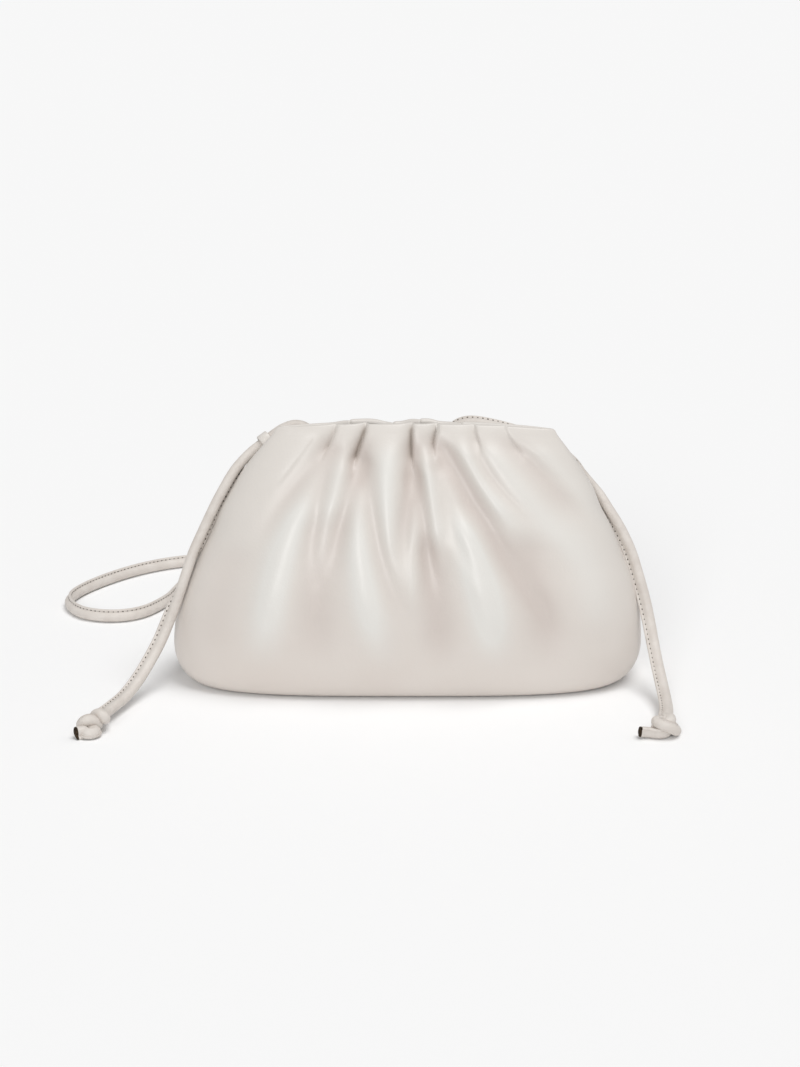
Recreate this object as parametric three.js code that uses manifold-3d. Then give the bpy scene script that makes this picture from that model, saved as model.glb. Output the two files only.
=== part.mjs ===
// A small crossbody pouch of soft smooth leather, gathered along its mouth, standing on its base.
// One long round leather cord runs through a leather keeper at each end of the mouth. Its two free
// ends come down the sides and forward along the ground, and each ends in an overhand knot.
// Millimetres. +X is the pouch's right as seen from the front, +Y its back, +Z up, origin under its middle.

import * as THREE from 'three';
import { mergeVertices } from 'three/addons/utils/BufferGeometryUtils.js';
import Module from 'manifold-3d';

const wasm = await Module();
wasm.setup();

// Driving dimensions of the pouch
const pouchWidth = 220;
const pouchDepth = 84;
const pouchHeight = 122.5;
const leatherWall = 1.8;
const baseWall = 2.4;
const rimWall = 4;
const rimThickening = 22;
const mouthSquare = 2.1;
const mouthGap = 6.2;
const rimEndLeft = 61;
const rimEndRight = 68.4;
const rimDropLeft = 3;
const rimDropRight = 4.2;
const rimDropBack = 1.2;

// Driving dimensions of the cord, its keepers, its knots and its dark cut ends
const cordDiameter = 5;
const keeperWall = 1;
const keeperLength = 5;
const keeperBoreClearance = 0.5;
const knotLoopRadius = 3.5;
const knotWaver = 1.8;
const knotRise = 1.8;
const knotEntryReach = 8.3;
const knotTailReach = 11.5;
const knotHeart = 4.6;
const knotHeartFlatness = 0.8;
const capThickness = 1.2;
const fitGap = 0.3;

// How finely the leather and the cord are faceted
const columnsRound = 88;
const columnsToMiddle = 0.25;
const outerRings = 23;
const innerRings = 16;
const rimRings = 4;
const profileSamples = 400;
const cordSides = 8;
const cordStep = 13;
const knotStep = 4.2;
const keeperSides = 20;
const capSides = 12;

const leatherColour = 0xe6e0da;
const cordColour = 0xded6cf;
const cutEndColour = 0x3a2d1f;
const satin = 0.5;
const raw = 0.8;

// Level outlines of the pouch. Heights are shares of the pouch's height, left and right are shares of
// half its width, deep is a share of half its depth, and square is how boxy the outline is (2: oval).
const outlineColumns = ['up', 'left', 'right', 'deep', 'square'];
const outlineRows = [
  [0.000, 0.866, 0.852, 0.750, 3.50],
  [0.010, 0.906, 0.894, 0.852, 3.45],
  [0.033, 0.946, 0.942, 0.908, 3.35],
  [0.073, 0.982, 0.980, 0.952, 3.15],
  [0.130, 1.000, 1.000, 0.980, 2.90],
  [0.212, 0.995, 0.999, 0.996, 2.70],
  [0.310, 0.980, 0.988, 1.000, 2.50],
  [0.408, 0.937, 0.958, 0.967, 2.40],
  [0.498, 0.886, 0.912, 0.900, 2.30],
  [0.588, 0.830, 0.866, 0.810, 2.25],
  [0.669, 0.790, 0.818, 0.702, 2.20],
  [0.751, 0.736, 0.780, 0.583, 2.15],
  [0.824, 0.688, 0.732, 0.464, 2.10],
  [0.890, 0.634, 0.687, 0.352, 2.10],
  [0.939, 0.592, 0.652, 0.262, 2.10],
];

// Folds that run down from the mouth. Across is a share of half the pouch's width, up a share of its
// height, for the fold's top, its bend and its foot. Depth is a share of the pouch's depth, above 0 for
// a valley and below 0 for a ridge, and width is the share of half its width that the fold takes.
const foldColumns = [
  'face', 'topAcross', 'topUp', 'bendAcross', 'bendUp', 'footAcross', 'footUp', 'depth', 'width',
];
const front = -1;
const back = 1;
const foldFadeBelow = 0.25;
const foldFadeAbove = 0.45;
const foldTopFade = 0.04;
const rimStiffFrom = 0.9;
const rimStiffTo = 0.98;
const rimStiffness = 0.8;
const foldRows = [
  [front, -0.29, 0.99, -0.43, 0.82, -0.58, 0.62, 0.040, 0.054],
  [front, -0.30, 0.92, -0.35, 0.78, -0.41, 0.55, 0.024, 0.045],
  [front, -0.17, 0.99, -0.21, 0.86, -0.29, 0.56, 0.042, 0.045],
  [front, -0.19, 0.88, -0.15, 0.70, -0.04, 0.38, 0.034, 0.050],
  [front, 0.02, 0.99, 0.02, 0.86, -0.03, 0.58, 0.042, 0.043],
  [front, 0.03, 0.84, 0.06, 0.70, 0.08, 0.46, 0.030, 0.044],
  [front, 0.11, 0.97, 0.20, 0.83, 0.56, 0.33, 0.048, 0.062],
  [front, 0.12, 0.85, 0.16, 0.72, 0.27, 0.50, 0.022, 0.040],
  [front, 0.27, 0.99, 0.31, 0.86, 0.46, 0.71, 0.026, 0.036],
  [front, 0.40, 0.97, 0.56, 0.82, 0.78, 0.60, 0.036, 0.064],
  [front, -0.37, 0.92, -0.48, 0.68, -0.62, 0.26, -0.020, 0.058],
  [front, 0.11, 0.84, 0.23, 0.62, 0.35, 0.24, -0.022, 0.064],
  [front, 0.33, 0.92, 0.52, 0.72, 0.72, 0.50, -0.018, 0.058],
  [back, -0.40, 0.98, -0.50, 0.80, -0.62, 0.56, 0.026, 0.055],
  [back, -0.24, 0.99, -0.28, 0.82, -0.36, 0.48, 0.030, 0.045],
  [back, -0.06, 0.99, -0.09, 0.80, -0.16, 0.44, 0.028, 0.045],
  [back, 0.05, 0.99, 0.06, 0.82, 0.05, 0.55, 0.026, 0.040],
  [back, 0.22, 0.98, 0.28, 0.80, 0.38, 0.46, 0.030, 0.050],
  [back, 0.40, 0.98, 0.50, 0.82, 0.66, 0.58, 0.026, 0.055],
];

// Where the keepers sit and which way the cord runs through them
const keeperLeftPlace = new THREE.Vector3(-65.9, 9.4, 110.8);
const keeperRightPlace = new THREE.Vector3(68.0, 12.3, 107.6);

// The cord's route between the keepers, chosen by hand: over the left shoulder, down the back, out in a
// loop on the ground at the left, in one easy bend behind the pouch and up its back to the right keeper.
const strapRoute = [
  [-65.9, 9.4, 110.8], [-62.9, 10.5, 112.8], [-57.8, 11.3, 116.0], [-52.1, 12.2, 117.5], [-46.8, 14.6, 115.5],
  [-44.0, 18.8, 109.6], [-43.1, 27.4, 93.0], [-45.0, 40.4, 57.0], [-48.4, 46.4, 18.0], [-53.6, 52.8, 6.0],
  [-60.0, 62.0, 3.0], [-66.0, 78.0, 2.6], [-80.0, 113.5, 2.6], [-99.0, 132.0, 2.6], [-116.5, 123.5, 2.6],
  [-125.2, 94.0, 2.6], [-136.6, 75.2, 2.6], [-150.0, 70.4, 2.6], [-166.0, 76.6, 2.6], [-175.0, 99.0, 2.6],
  [-152.0, 140.0, 2.6], [-121.0, 161.5, 2.6], [-76.0, 163.5, 2.6], [-22.0, 144.0, 2.6], [42.0, 151.0, 2.6],
  [82.0, 134.0, 2.6], [72.0, 105.0, 2.6], [30.0, 86.0, 2.7], [17.0, 67.0, 3.1], [14.8, 51.0, 8.4],
  [14.6, 46.0, 30.0], [14.6, 43.6, 52.0], [15.0, 35.6, 76.0], [16.4, 24.2, 98.0], [20.1, 13.9, 114.4],
  [27.4, 10.9, 118.8], [42.0, 10.4, 117.3], [59.0, 11.8, 112.1], [64.9, 12.5, 109.8], [68.0, 12.3, 107.6],
];

// The free ends, from inside each keeper down the pouch's side to the ground and forward to the knot
const leftEndRoute = [
  [-65.9, 9.4, 110.8], [-68.9, 8.3, 108.8], [-71.9, 7.0, 106.7], [-75.0, 5.2, 104.1], [-79.4, 2.5, 99.6],
  [-82.8, 0.1, 94.8], [-86.0, -1.9, 89.4], [-89.0, -3.7, 84.0], [-94.2, -6.6, 73.4], [-99.2, -10.0, 62.8],
  [-102.9, -13.6, 52.4], [-106.6, -15.8, 41.4], [-111.0, -18.4, 30.2], [-114.4, -22.0, 22.6],
  [-118.6, -28.2, 15.6], [-123.0, -37.0, 9.8], [-127.6, -47.4, 6.0], [-131.7, -57.6, 5.1], [-135.0, -66.4, 5.0],
];
const rightEndRoute = [
  [68.0, 12.3, 107.6], [71.1, 12.1, 105.4], [74.6, 11.8, 102.2], [78.0, 11.5, 98.6], [81.3, 11.0, 95.1],
  [85.5, 10.2, 90.2], [89.8, 8.8, 85.3], [93.6, 5.6, 79.9], [99.6, 1.6, 70.8], [104.6, -3.0, 60.5],
  [108.0, -7.0, 50.0], [111.0, -10.6, 39.4], [113.2, -15.2, 29.2], [114.4, -20.2, 22.0], [115.5, -27.2, 15.4],
  [116.6, -37.0, 9.6], [117.2, -48.4, 5.6], [116.8, -60.4, 4.2], [114.9, -71.1, 3.9],
];

// Which way each knot's tail leaves, in degrees from +X, how far it dips, and how flat the knot is pressed
const knotColumns = ['side', 'tailTurn', 'tailDip', 'flatness'];
const knotRows = [
  ['left', 226, 0.17, 1],
  ['right', 196, 0.07, 0.78],
];

const halfWidth = pouchWidth / 2;
const halfDepth = pouchDepth / 2;
const cordRadius = cordDiameter / 2;

const namedRows = (columns, rows) => rows.map(
  (row) => Object.fromEntries(columns.map((column, index) => [column, row[index]])),
);
const folds = namedRows(foldColumns, foldRows);

// The bead of the rim is as wide as the rim's wall, so the last outline is set by the mouth itself
const rimBeadHeight = pouchHeight - rimWall / 2;
const outlines = [
  ...namedRows(outlineColumns, outlineRows),
  {
    up: rimBeadHeight / pouchHeight,
    left: rimEndLeft / halfWidth,
    right: rimEndRight / halfWidth,
    deep: (mouthGap / 2 + rimWall) / halfDepth,
    square: mouthSquare,
  },
];

// A smooth value between the rows of a table, at a share of the height
function tableValue(rows, column, up) {
  const last = rows.length - 1;
  let row = 0;
  while (row < last - 1 && rows[row + 1].up < up) row += 1;
  const slope = (index) => {
    const before = rows[Math.max(index - 1, 0)];
    const after = rows[Math.min(index + 1, last)];
    return (after[column] - before[column]) / (after.up - before.up);
  };
  const span = rows[row + 1].up - rows[row].up;
  const share = THREE.MathUtils.clamp((up - rows[row].up) / span, 0, 1);
  const square = share * share;
  const cube = square * share;
  return rows[row][column] * (2 * cube - 3 * square + 1)
    + rows[row + 1][column] * (3 * square - 2 * cube)
    + slope(row) * span * (cube - 2 * square + share)
    + slope(row + 1) * span * (cube - square);
}

// How far a fold's line has gone across at a height: a parabola through its top, bend and foot
function foldAcross(fold, up) {
  const { topUp: a, bendUp: b, footUp: c } = fold;
  const top = fold.topAcross * ((up - b) * (up - c)) / ((a - b) * (a - c));
  const bend = fold.bendAcross * ((up - a) * (up - c)) / ((b - a) * (b - c));
  const foot = fold.footAcross * ((up - a) * (up - b)) / ((c - a) * (c - b));
  return top + bend + foot;
}

// How far the folds press the leather in at a place on the front or the back
function foldPress(face, across, up) {
  const give = 1 - rimStiffness * THREE.MathUtils.smoothstep(up, rimStiffFrom, rimStiffTo);
  let press = 0;
  for (const fold of folds) {
    if (fold.face !== face) continue;
    const length = fold.topUp - fold.footUp;
    const lowest = fold.footUp - foldFadeBelow * length;
    const highest = fold.topUp + foldTopFade;
    const inFoot = THREE.MathUtils.smoothstep(up, lowest, fold.footUp + foldFadeAbove * length);
    const inTop = 1 - THREE.MathUtils.smoothstep(up, fold.topUp - foldTopFade / 2, highest);
    const aside = (across - foldAcross(fold, THREE.MathUtils.clamp(up, lowest, highest))) / fold.width;
    press += fold.depth * inFoot * inTop * Math.exp(-aside * aside);
  }
  return press * give * pouchDepth;
}

// The rim dips to its ends and to its back: how sharply it bows, and how soon the dip dies out below it
const rimDropBow = 2.5;
const rimDropReach = 8;

// A point of the pouch's skin. Turn runs round the outline and inset is how far inside the outer skin it is.
function skinPoint(turn, height, insetAcross, insetDeep) {
  const up = height / pouchHeight;
  const cosine = Math.cos(turn);
  const sine = Math.sin(turn);
  const outerSide = tableValue(outlines, cosine < 0 ? 'left' : 'right', up) * halfWidth;
  const side = outerSide - insetAcross;
  const deep = tableValue(outlines, 'deep', up) * halfDepth - insetDeep;
  const power = 2 / tableValue(outlines, 'square', up);
  const x = side * Math.sign(cosine) * Math.abs(cosine) ** power;
  const flatY = deep * Math.sign(sine) * Math.abs(sine) ** power;
  const face = sine < 0 ? front : back;
  const y = flatY - face * foldPress(face, x / halfWidth, up) * Math.abs(sine);
  const rimDropHere = cosine < 0 ? rimDropLeft : rimDropRight;
  const dip = rimDropHere * Math.abs(x / outerSide) ** rimDropBow + rimDropBack * Math.max(sine, 0);
  return new THREE.Vector3(x, y, height - dip * up ** rimDropReach);
}

// Heights that are evenly spaced along the pouch's profile
function evenHeights(count, from, to) {
  const heights = [];
  const lengths = [0];
  for (let i = 0; i <= profileSamples; i += 1) heights.push(from + (to - from) * (i / profileSamples));
  for (let i = 1; i <= profileSamples; i += 1) {
    const rise = heights[i] - heights[i - 1];
    const reach = (tableValue(outlines, 'deep', heights[i] / pouchHeight)
      - tableValue(outlines, 'deep', heights[i - 1] / pouchHeight)) * halfDepth;
    lengths.push(lengths[i - 1] + Math.hypot(rise, reach));
  }
  const picked = [];
  let sample = 0;
  for (let i = 0; i <= count; i += 1) {
    const wanted = (lengths[profileSamples] * i) / count;
    while (sample < profileSamples && lengths[sample] < wanted) sample += 1;
    picked.push(heights[sample]);
  }
  return picked;
}

// The pouch is one closed skin: base, outside, over the bead of the rim, inside and inner floor
function pouchGeometry() {
  const rings = [];
  const turns = [];
  for (let i = 0; i < columnsRound; i += 1) {
    const even = (2 * Math.PI * i) / columnsRound;
    turns.push(even + columnsToMiddle * Math.sin(2 * even));
  }
  const addRing = (height, insetAcross, insetDeep, lift = 0) => {
    rings.push(turns.map((turn) => {
      const point = skinPoint(turn, height, insetAcross, insetDeep);
      point.z += lift;
      return point;
    }));
  };
  const wallAt = (height) => {
    const thicker = THREE.MathUtils.smoothstep(height, pouchHeight - rimThickening, rimBeadHeight);
    return THREE.MathUtils.lerp(leatherWall, rimWall, thicker);
  };
  for (const height of evenHeights(outerRings, 0, rimBeadHeight)) addRing(height, 0, 0);
  for (let i = 1; i < rimRings; i += 1) {
    const roll = (Math.PI * i) / rimRings;
    const inset = (rimWall / 2) * (1 - Math.cos(roll));
    addRing(rimBeadHeight, inset, inset, (rimWall / 2) * Math.sin(roll));
  }
  for (const height of evenHeights(innerRings, baseWall, rimBeadHeight).reverse()) {
    addRing(height, wallAt(height), wallAt(height));
  }

  const positions = rings.flat().flatMap((point) => point.toArray());
  const faces = [];
  const lastRing = (rings.length - 1) * columnsRound;
  for (let ring = 0; ring < rings.length - 1; ring += 1) {
    for (let i = 0; i < columnsRound; i += 1) {
      const j = (i + 1) % columnsRound;
      const a = ring * columnsRound + i;
      const b = ring * columnsRound + j;
      faces.push(a, b, b + columnsRound, a, b + columnsRound, a + columnsRound);
    }
  }
  const baseCentre = positions.length / 3;
  positions.push(0, 0, 0, 0, 0, baseWall);
  for (let i = 0; i < columnsRound; i += 1) {
    const j = (i + 1) % columnsRound;
    faces.push(baseCentre, j, i);
    faces.push(baseCentre + 1, lastRing + i, lastRing + j);
  }
  const geometry = new THREE.BufferGeometry();
  geometry.setAttribute('position', new THREE.Float32BufferAttribute(positions, 3));
  geometry.setIndex(faces);
  return geometry;
}

const toVectors = (points) => points.map((point) => new THREE.Vector3(...point));

// A round section swept along a curve
function cordGeometry(curve, diameter, step) {
  const section = new THREE.Shape();
  section.absarc(0, 0, diameter / 2, 0, 2 * Math.PI);
  return new THREE.ExtrudeGeometry(section, {
    steps: Math.max(2, Math.round(curve.getLength() / step)),
    curveSegments: cordSides / 2,
    bevelEnabled: false,
    extrudePath: curve,
  });
}

// The stretch of a smooth route that is left when a gap is kept free at its ends
class TrimmedRoute extends THREE.Curve {
  constructor(points, startGap, endGap) {
    super();
    this.whole = new THREE.CatmullRomCurve3(toVectors(points), false, 'centripetal');
    this.from = startGap / this.whole.getLength();
    this.to = 1 - endGap / this.whole.getLength();
  }

  getPoint(share, target) {
    return this.whole.getPointAt(THREE.MathUtils.lerp(this.from, this.to, share), target);
  }
}

// A leather keeper: a short sleeve round the cord
function keeperGeometry() {
  const bore = cordRadius + keeperBoreClearance;
  const outer = bore + keeperWall;
  const round = keeperWall / 3;
  const half = keeperLength / 2;
  const profile = [
    [bore, -half], [outer - round, -half], [outer, round - half], [outer, half - round],
    [outer - round, half], [bore, half], [bore, -half],
  ].map(([radius, along]) => new THREE.Vector2(radius, along));
  return new THREE.LatheGeometry(profile, keeperSides);
}

// Joins closed pieces of geometry into one solid
function joined(geometries) {
  const solids = geometries.map((geometry) => {
    geometry.deleteAttribute('normal');
    geometry.deleteAttribute('uv');
    const welded = mergeVertices(geometry, 1e-4);
    return new wasm.Manifold(new wasm.Mesh({
      numProp: 3,
      vertProperties: new Float32Array(welded.attributes.position.array),
      triVerts: new Uint32Array(welded.index.array),
    }));
  });
  const whole = solids.reduce((sum, solid) => sum.add(solid));
  const mesh = whole.getMesh();
  const geometry = new THREE.BufferGeometry();
  geometry.setAttribute('position', new THREE.BufferAttribute(mesh.vertProperties, 3));
  geometry.setIndex(new THREE.BufferAttribute(mesh.triVerts, 1));
  return geometry;
}

// A place on the knot's turn of cord: a trefoil that lies flat round the point where the cord enters
function knotTurnPoint(share) {
  const angle = 2 * Math.PI * share;
  const radius = knotLoopRadius + knotWaver * Math.cos(3 * angle);
  return new THREE.Vector3(
    radius * Math.cos(2 * angle),
    radius * Math.sin(2 * angle),
    knotRise * Math.sin(3 * angle),
  );
}

// The knot's turn in three stretches that overlap, as shares of the whole turn
const knotStretches = [[0.03, 0.36], [0.33, 0.66], [0.63, 0.97]];
const knotStretchSteps = 8;

// A stretch of the knot's turn, from one share of it to another
function knotStretch(from, to, steps) {
  const points = [];
  for (let i = 0; i <= steps; i += 1) points.push(knotTurnPoint(from + ((to - from) * i) / steps));
  return new THREE.CatmullRomCurve3(points, false, 'centripetal');
}

// Where a knot lies: its centre is straight ahead of the free end's last stretch
function knotAtEndOf(route, { side, tailTurn, tailDip, flatness }) {
  const end = new THREE.Vector3(...route.at(-1));
  const ahead = end.clone().sub(new THREE.Vector3(...route.at(-2))).normalize();
  const turn = THREE.MathUtils.degToRad(tailTurn);
  return {
    side,
    flatness,
    centre: end.clone().addScaledVector(ahead, knotEntryReach + fitGap),
    back: ahead.clone().negate(),
    tail: new THREE.Vector3(Math.cos(turn), Math.sin(turn), -tailDip).normalize(),
  };
}

// The knot: the strand that enters it, its turn in three overlapping stretches pulled tight, and the tail
function knotGeometry(knot) {
  const facing = new THREE.Matrix4().makeRotationZ(Math.atan2(knot.back.y, knot.back.x));
  const strands = knotStretches.map(([from, to]) => (
    cordGeometry(knotStretch(from, to, knotStretchSteps), cordDiameter, knotStep).applyMatrix4(facing)
  ));
  strands.push(new THREE.IcosahedronGeometry(knotHeart, 1).scale(1, 1, knotHeartFlatness));
  for (const strand of strands) strand.scale(1, 1, knot.flatness);
  const straight = (direction, reach) => cordGeometry(
    new THREE.LineCurve3(direction.clone(), direction.clone().multiplyScalar(reach)),
    cordDiameter,
    reach,
  );
  strands.push(straight(knot.back, knotEntryReach), straight(knot.tail, knotTailReach));
  return joined(strands).translate(...knot.centre.toArray());
}

function leatherMesh(name, geometry, color, roughness) {
  const mesh = new THREE.Mesh(geometry, new THREE.MeshStandardMaterial({ color, roughness, metalness: 0 }));
  mesh.name = name;
  return mesh;
}

function keeperMesh(name, place, before, after) {
  const mesh = leatherMesh(name, keeperGeometry(), leatherColour, satin);
  const run = new THREE.Vector3(...after).sub(new THREE.Vector3(...before)).normalize();
  mesh.position.copy(place);
  mesh.quaternion.setFromUnitVectors(new THREE.Vector3(0, 1, 0), run);
  return mesh;
}

function capMesh(name, knot) {
  const geometry = new THREE.CylinderGeometry(cordRadius, cordRadius, capThickness, capSides);
  const mesh = leatherMesh(name, geometry, cutEndColour, raw);
  mesh.position.copy(knot.centre).addScaledVector(knot.tail, knotTailReach + fitGap + capThickness / 2);
  mesh.quaternion.setFromUnitVectors(new THREE.Vector3(0, 1, 0), knot.tail);
  return mesh;
}

function cordMesh(name, route, startGap, endGap) {
  const curve = new TrimmedRoute(route, startGap, endGap);
  return leatherMesh(name, cordGeometry(curve, cordDiameter, cordStep), cordColour, satin);
}

const pouch = new THREE.Group();
pouch.add(leatherMesh('pouch_body', pouchGeometry(), leatherColour, satin));
pouch.add(keeperMesh('keeper_left', keeperLeftPlace, leftEndRoute[1], strapRoute[1]));
pouch.add(keeperMesh('keeper_right', keeperRightPlace, rightEndRoute[1], strapRoute.at(-2)));
pouch.add(cordMesh('strap_cord', strapRoute, fitGap / 2, fitGap / 2));
pouch.add(cordMesh('end_cord_left', leftEndRoute, fitGap / 2, 0));
pouch.add(cordMesh('end_cord_right', rightEndRoute, fitGap / 2, 0));
for (const row of namedRows(knotColumns, knotRows)) {
  const knot = knotAtEndOf(row.side === 'left' ? leftEndRoute : rightEndRoute, row);
  pouch.add(leatherMesh(`knot_${knot.side}`, knotGeometry(knot), cordColour, satin));
  pouch.add(capMesh(`end_cap_${knot.side}`, knot));
}

export default pouch;
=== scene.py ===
import math

import bpy
import numpy as np
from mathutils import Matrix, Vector


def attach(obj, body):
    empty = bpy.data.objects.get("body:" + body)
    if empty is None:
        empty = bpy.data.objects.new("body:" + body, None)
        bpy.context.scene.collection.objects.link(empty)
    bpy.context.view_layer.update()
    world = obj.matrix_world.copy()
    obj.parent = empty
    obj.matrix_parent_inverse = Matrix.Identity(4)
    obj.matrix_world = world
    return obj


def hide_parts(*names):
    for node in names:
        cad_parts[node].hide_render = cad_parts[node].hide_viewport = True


# A small gathered crossbody pouch of smooth cream leather. Everything is in metres: +X is its right as
# seen from the front, +Y its back and +Z up, and it stands on the floor at Z 0.

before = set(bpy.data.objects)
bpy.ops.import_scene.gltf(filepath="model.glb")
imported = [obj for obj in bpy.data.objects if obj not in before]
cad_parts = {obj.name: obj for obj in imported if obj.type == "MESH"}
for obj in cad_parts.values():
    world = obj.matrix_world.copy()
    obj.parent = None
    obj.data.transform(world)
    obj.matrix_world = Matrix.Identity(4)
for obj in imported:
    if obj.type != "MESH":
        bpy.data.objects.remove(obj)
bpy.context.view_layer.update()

# Camera
CAMERA_TARGET = Vector((-0.0035, 0.0, 0.0686))
CAMERA_DISTANCE = 1.0
CAMERA_ELEVATION = math.radians(17)
CAMERA_LENS = 72.24


def make_camera():
    data = bpy.data.cameras.new("camera")
    data.lens = CAMERA_LENS
    camera = bpy.data.objects.new("camera", data)
    bpy.context.scene.collection.objects.link(camera)
    back = Vector((0, -math.cos(CAMERA_ELEVATION), math.sin(CAMERA_ELEVATION)))
    camera.location = CAMERA_TARGET + back * CAMERA_DISTANCE
    camera.rotation_euler = (-back).to_track_quat("-Z", "Y").to_euler()
    bpy.context.scene.camera = camera


make_camera()
bpy.context.scene.view_settings.view_transform = "Standard"

# The strap's route, from the left keeper over the left shoulder, down the back, out in a loop on the
# floor at the left, in one easy bend behind the pouch and up its back to the right keeper
STRAP_ROUTE = [
    (-0.0659, 0.0094, 0.1108), (-0.0629, 0.0105, 0.1128), (-0.0578, 0.0113, 0.1160),
    (-0.0521, 0.0122, 0.1175), (-0.0468, 0.0146, 0.1155), (-0.0440, 0.0188, 0.1096),
    (-0.0431, 0.0274, 0.0930), (-0.0450, 0.0404, 0.0570), (-0.0484, 0.0464, 0.0180),
    (-0.0536, 0.0528, 0.0060), (-0.0600, 0.0620, 0.0030), (-0.0660, 0.0780, 0.0026),
    (-0.0800, 0.1135, 0.0026), (-0.0990, 0.1320, 0.0026), (-0.1165, 0.1235, 0.0026),
    (-0.1252, 0.0940, 0.0026), (-0.1366, 0.0752, 0.0026), (-0.1500, 0.0704, 0.0026),
    (-0.1660, 0.0766, 0.0026), (-0.1750, 0.0990, 0.0026), (-0.1520, 0.1400, 0.0026),
    (-0.1210, 0.1615, 0.0026), (-0.0760, 0.1635, 0.0026), (-0.0220, 0.1440, 0.0026),
    (0.0420, 0.1510, 0.0026), (0.0820, 0.1340, 0.0026), (0.0720, 0.1050, 0.0026),
    (0.0300, 0.0860, 0.0027), (0.0170, 0.0670, 0.0031), (0.0148, 0.0510, 0.0084),
    (0.0146, 0.0460, 0.0300), (0.0146, 0.0436, 0.0520), (0.0150, 0.0356, 0.0760),
    (0.0164, 0.0242, 0.0980), (0.0201, 0.0139, 0.1144), (0.0274, 0.0109, 0.1188),
    (0.0420, 0.0104, 0.1173), (0.0590, 0.0118, 0.1121), (0.0649, 0.0125, 0.1098),
    (0.0680, 0.0123, 0.1076),
]

# The free ends, from inside each keeper down the side to the floor and forward to the knot
LEFT_END_ROUTE = [
    (-0.0659, 0.0094, 0.1108), (-0.0689, 0.0083, 0.1088), (-0.0719, 0.0070, 0.1067),
    (-0.0750, 0.0052, 0.1041), (-0.0794, 0.0025, 0.0996), (-0.0828, 0.0001, 0.0948),
    (-0.0860, -0.0019, 0.0894), (-0.0890, -0.0037, 0.0840), (-0.0942, -0.0066, 0.0734),
    (-0.0992, -0.0100, 0.0628), (-0.1029, -0.0136, 0.0524), (-0.1066, -0.0158, 0.0414),
    (-0.1110, -0.0184, 0.0302), (-0.1144, -0.0220, 0.0226), (-0.1186, -0.0282, 0.0156),
    (-0.1230, -0.0370, 0.0098), (-0.1276, -0.0474, 0.0060), (-0.1317, -0.0576, 0.0051),
    (-0.1350, -0.0664, 0.0050),
]
RIGHT_END_ROUTE = [
    (0.0680, 0.0123, 0.1076), (0.0711, 0.0121, 0.1054), (0.0746, 0.0118, 0.1022),
    (0.0780, 0.0115, 0.0986), (0.0813, 0.0110, 0.0951), (0.0855, 0.0102, 0.0902),
    (0.0898, 0.0088, 0.0853), (0.0936, 0.0056, 0.0799), (0.0996, 0.0016, 0.0708),
    (0.1046, -0.0030, 0.0605), (0.1080, -0.0070, 0.0500), (0.1110, -0.0106, 0.0394),
    (0.1132, -0.0152, 0.0292), (0.1144, -0.0202, 0.0220), (0.1155, -0.0272, 0.0154),
    (0.1166, -0.0370, 0.0096), (0.1172, -0.0484, 0.0056), (0.1168, -0.0604, 0.0042),
    (0.1149, -0.0711, 0.0039),
]

# The cord is a leather strip stitched round a core, so it has a narrow flange along one side
CORD_DIAMETER = 0.005
CORE_RADIUS = 0.00238
NECK_REACH = 0.00262
NECK_HALF = 0.00052
FLANGE_REACH = 0.0041
FLANGE_HALF = 0.00068
CORD_STEP = 0.0014
FIT_GAP = 0.0003

# Which way the flange points, at shares of the way along each cord
STRAP_FLANGE = [
    (0.00, (-0.4, 0.9, 0.2)), (0.03, (-0.1, 0.9, 0.5)), (0.06, (0.6, 0.5, 0.6)),
    (0.10, (1.0, 0.3, 0.0)), (0.16, (0.8, 0.4, 0.4)), (0.20, (0.1, 0.0, 1.0)),
    (0.34, (0.0, 0.1, 1.0)), (0.40, (0.1, 0.35, 1.0)), (0.50, (0.1, 0.2, 1.0)),
    (0.76, (0.0, 0.0, 1.0)), (0.82, (0.6, 0.4, 0.6)), (0.88, (1.0, 0.3, 0.0)),
    (0.93, (0.3, 0.4, 0.9)), (0.97, (0.0, 0.8, 0.6)), (1.00, (0.1, 0.9, 0.3)),
]
LEFT_FLANGE = [
    (0.00, (-0.2, 0.9, 0.2)), (0.12, (0.75, 0.6, 0.0)), (0.36, (0.8, 0.55, 0.0)),
    (0.48, (-0.2, 0.95, 0.1)), (0.60, (-0.95, 0.0, 0.2)), (1.00, (-0.90, 0.0, 0.4)),
]
RIGHT_FLANGE = [
    (0.00, (0.1, 0.9, 0.3)), (0.08, (0.5, 0.8, 0.4)), (0.18, (-0.5, 0.85, 0.2)),
    (0.28, (-0.9, 0.35, 0.1)), (0.50, (-0.95, -0.1, 0.1)), (0.70, (-0.9, -0.35, 0.2)),
    (1.00, (-0.95, 0.0, 0.3)),
]

# The knots. Each is drawn tight from a loose one, round its middle, until its cord has the stated length.
# The table's columns: which way the tail leaves, how far it dips, how the knot is turned about itself, how
# thick the squeezed cord is in it, how long that cord is, how high its middle line may rise and how far
# along its tail the knot lies.
KNOT_ENTRY_REACH = 0.0083
KNOT_TAIL_REACH = 0.0115
KNOT_LOOP_NODES = 32
KNOT_LEAD_NODES = 12
LOOSE_RADIUS = 0.0075
LOOSE_WAVER = 0.0042
LOOSE_RISE = 0.0042
KNOTS = {
    "left": (math.radians(230), 0.17, math.radians(-35), 0.0041, 0.055, 0.0092, 0.0030),
    "right": (math.radians(196), 0.07, math.radians(0), 0.0041, 0.062, 0.0066, 0),
}
# How many nodes at a knot's end keep straight as its tail, and how clear of the floor the knot keeps
TAIL_NODES = 5
KNOT_CLEARANCE = 0.0004


def unit(vectors):
    return vectors / np.linalg.norm(vectors, axis=-1, keepdims=True)


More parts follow.
